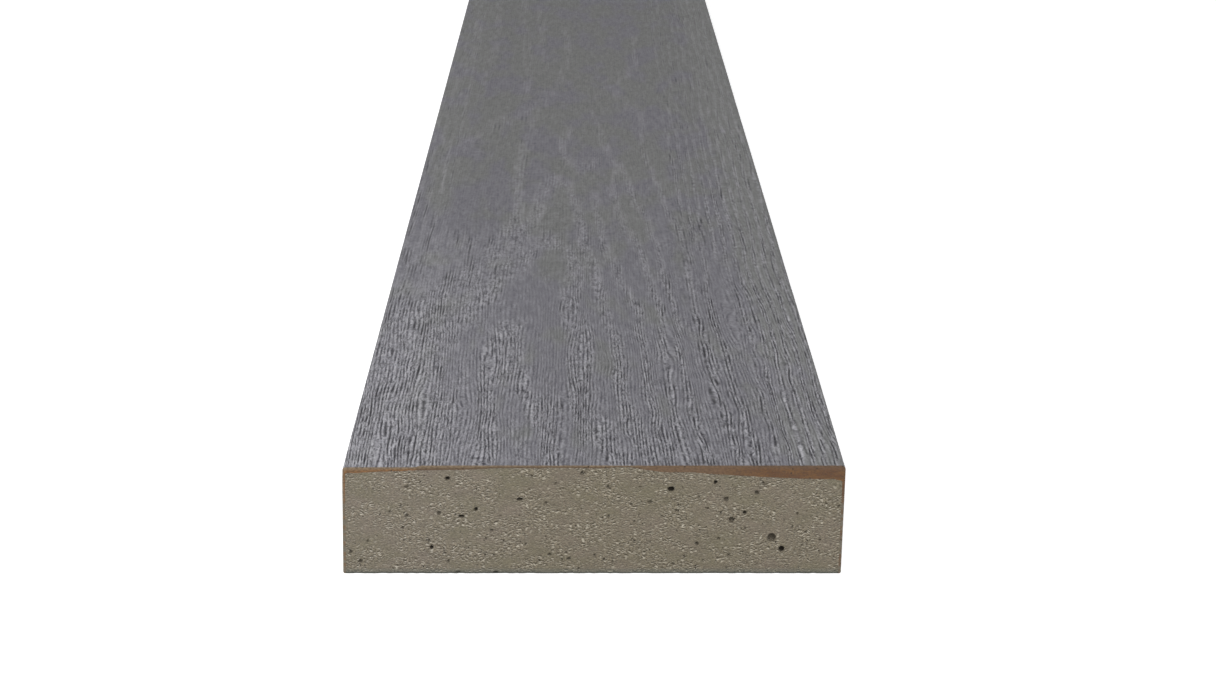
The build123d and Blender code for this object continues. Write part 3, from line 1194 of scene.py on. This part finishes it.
def map_skin():
    """The outside, the lips, the sawn ends, the ceiling and the insides of both sides."""
    count, length = len(outer), len(rows)
    round_section = (girth - girth[0]) / (girth[-1] - girth[0])
    past_end = (rows / board_length + np.linspace(0, 1, length)) / 2
    inside = round_section[1:-1]
    around = np.concatenate([np.tile(round_section, length), np.zeros(length), np.ones(length),
                             inside, inside])
    along = np.concatenate([np.repeat(past_end, count), past_end, past_end,
                            0 * inside, 0 * inside + 1])
    outward = np.concatenate([np.ones(count * length), np.zeros(2 * length + 2 * len(inside))])
    from_lip = np.minimum(around, 1 - around) * 6
    order = ([0] * (count - 1) + [1, 2]) * (length - 1) + [3, 4] * (count - 1)
    order += [5] * (count - 1 - 2 * side_points) + [6, 7]
    add_map(skin, order, [
        (around, along, 0.002, 0.900), (along, outward, 0.905, 0.910),
        (along, outward, 0.914, 0.919), (around, outward, 0.925, 0.945),
        (around, outward, 0.950, 0.970), (around, along, 0.975, 0.980),
        (along, from_lip, 0.984, 0.988), (along, from_lip, 0.992, 0.996)])


def map_core():
    """The sawn ends, the underside, the top and both sides."""
    over, up = (grid.ravel() for grid in np.meshgrid(np.linspace(0, 1, core_columns + 1), share_up))
    end = np.repeat([0, 1], len(over))
    over, up = np.tile(over, 2), np.tile(up, 2)
    order = [0, 1] * (core_columns * core_rows) + [2, 3] * core_columns + [4, 5] * core_rows
    add_map(core, order, [
        (over, up, 0.002, 0.230), (over, up, 0.240, 0.470), (end, over, 0.480, 0.940),
        (end, over, 0.950, 0.960), (end, up, 0.965, 0.975), (end, up, 0.980, 0.990)])


map_skin()
map_core()
print("maps", [layer.name for piece in (skin, core) for layer in piece.data.uv_layers])

# %% [markdown]
# ## Floor and light
#
# The board lies on a pale floor under soft light. A wide lamp at its left rakes over the face
# near the seen end, so that the troughs and fibres show, and another in front lights the sawn
# end. Two weaker ones do the same for the far part. The floor and the world are white where the
# camera sees them, also in a reflection. For that the floor adds a little light of its own, which
# still leaves the board's shadow on it.

# %% Floor
def seen_directly(tree):
    """1 for the camera's own rays and those reflected or let through, and 0 for the rest."""
    path = add(tree, "ShaderNodeLightPath").outputs
    seen = calculate(tree, "MAXIMUM", path["Is Camera Ray"], path["Is Glossy Ray"])
    return calculate(tree, "MAXIMUM", seen, path["Is Transmission Ray"])


def make_floor(glow):
    """A pale floor that glows a little where it is seen."""
    material, tree, shader = new_material("pale_floor", 0.9, 0.1)
    shader.inputs["Base Color"].default_value = (0.8, 0.8, 0.8, 1)
    shader.inputs["Emission Color"].default_value = (1, 1, 1, 1)
    connect(tree, shader.inputs["Emission Strength"], times(tree, seen_directly(tree), glow))
    bpy.ops.mesh.primitive_plane_add(size=30)
    floor = bpy.context.object
    floor.name = "floor"
    floor.data.materials.append(material)
    print("the floor is", floor.dimensions.x, "m wide")


make_floor(0.67)

# %% World and lamps
def make_world(strength):
    """Even white light, at full strength where it is seen."""
    world = bpy.data.worlds.new("studio")
    bpy.context.scene.world = world
    world.use_nodes = True
    tree = world.node_tree
    background = tree.nodes["Background"]
    background.inputs["Color"].default_value = (1, 1, 1, 1)
    shown = remap(tree, seen_directly(tree), 0, 1, strength, 1.0)
    connect(tree, background.inputs["Strength"], shown)


def add_lamp(name, location, target, size, watts):
    """A square soft lamp that faces a point."""
    data = bpy.data.lights.new(name, "AREA")
    data.size, data.energy = size, watts
    lamp = bpy.data.objects.new(name, data)
    lamp.location = location
    aim = np.array(target) - np.array(location)
    lamp.rotation_euler = Vector(aim).to_track_quat("-Z", "Y").to_euler()
    bpy.context.scene.collection.objects.link(lamp)
    print(name, "lamp:", watts, "W")


make_world(0.38)
add_lamp("key", (-1.7, -1.6, 1.7), (0, -1.5, 0), 1.2, 26)
add_lamp("front", (0.5, -4.4, 1.3), (0, -1.7, 0), 1.8, 57)
add_lamp("far_key", (-1.7, 1.2, 1.7), (0, 1.1, 0), 1.2, 11)
add_lamp("back", (0.9, 4.4, 1.3), (0, 1.7, 0), 1.8, 16)
bpy.context.scene.view_settings.view_transform = "Standard"
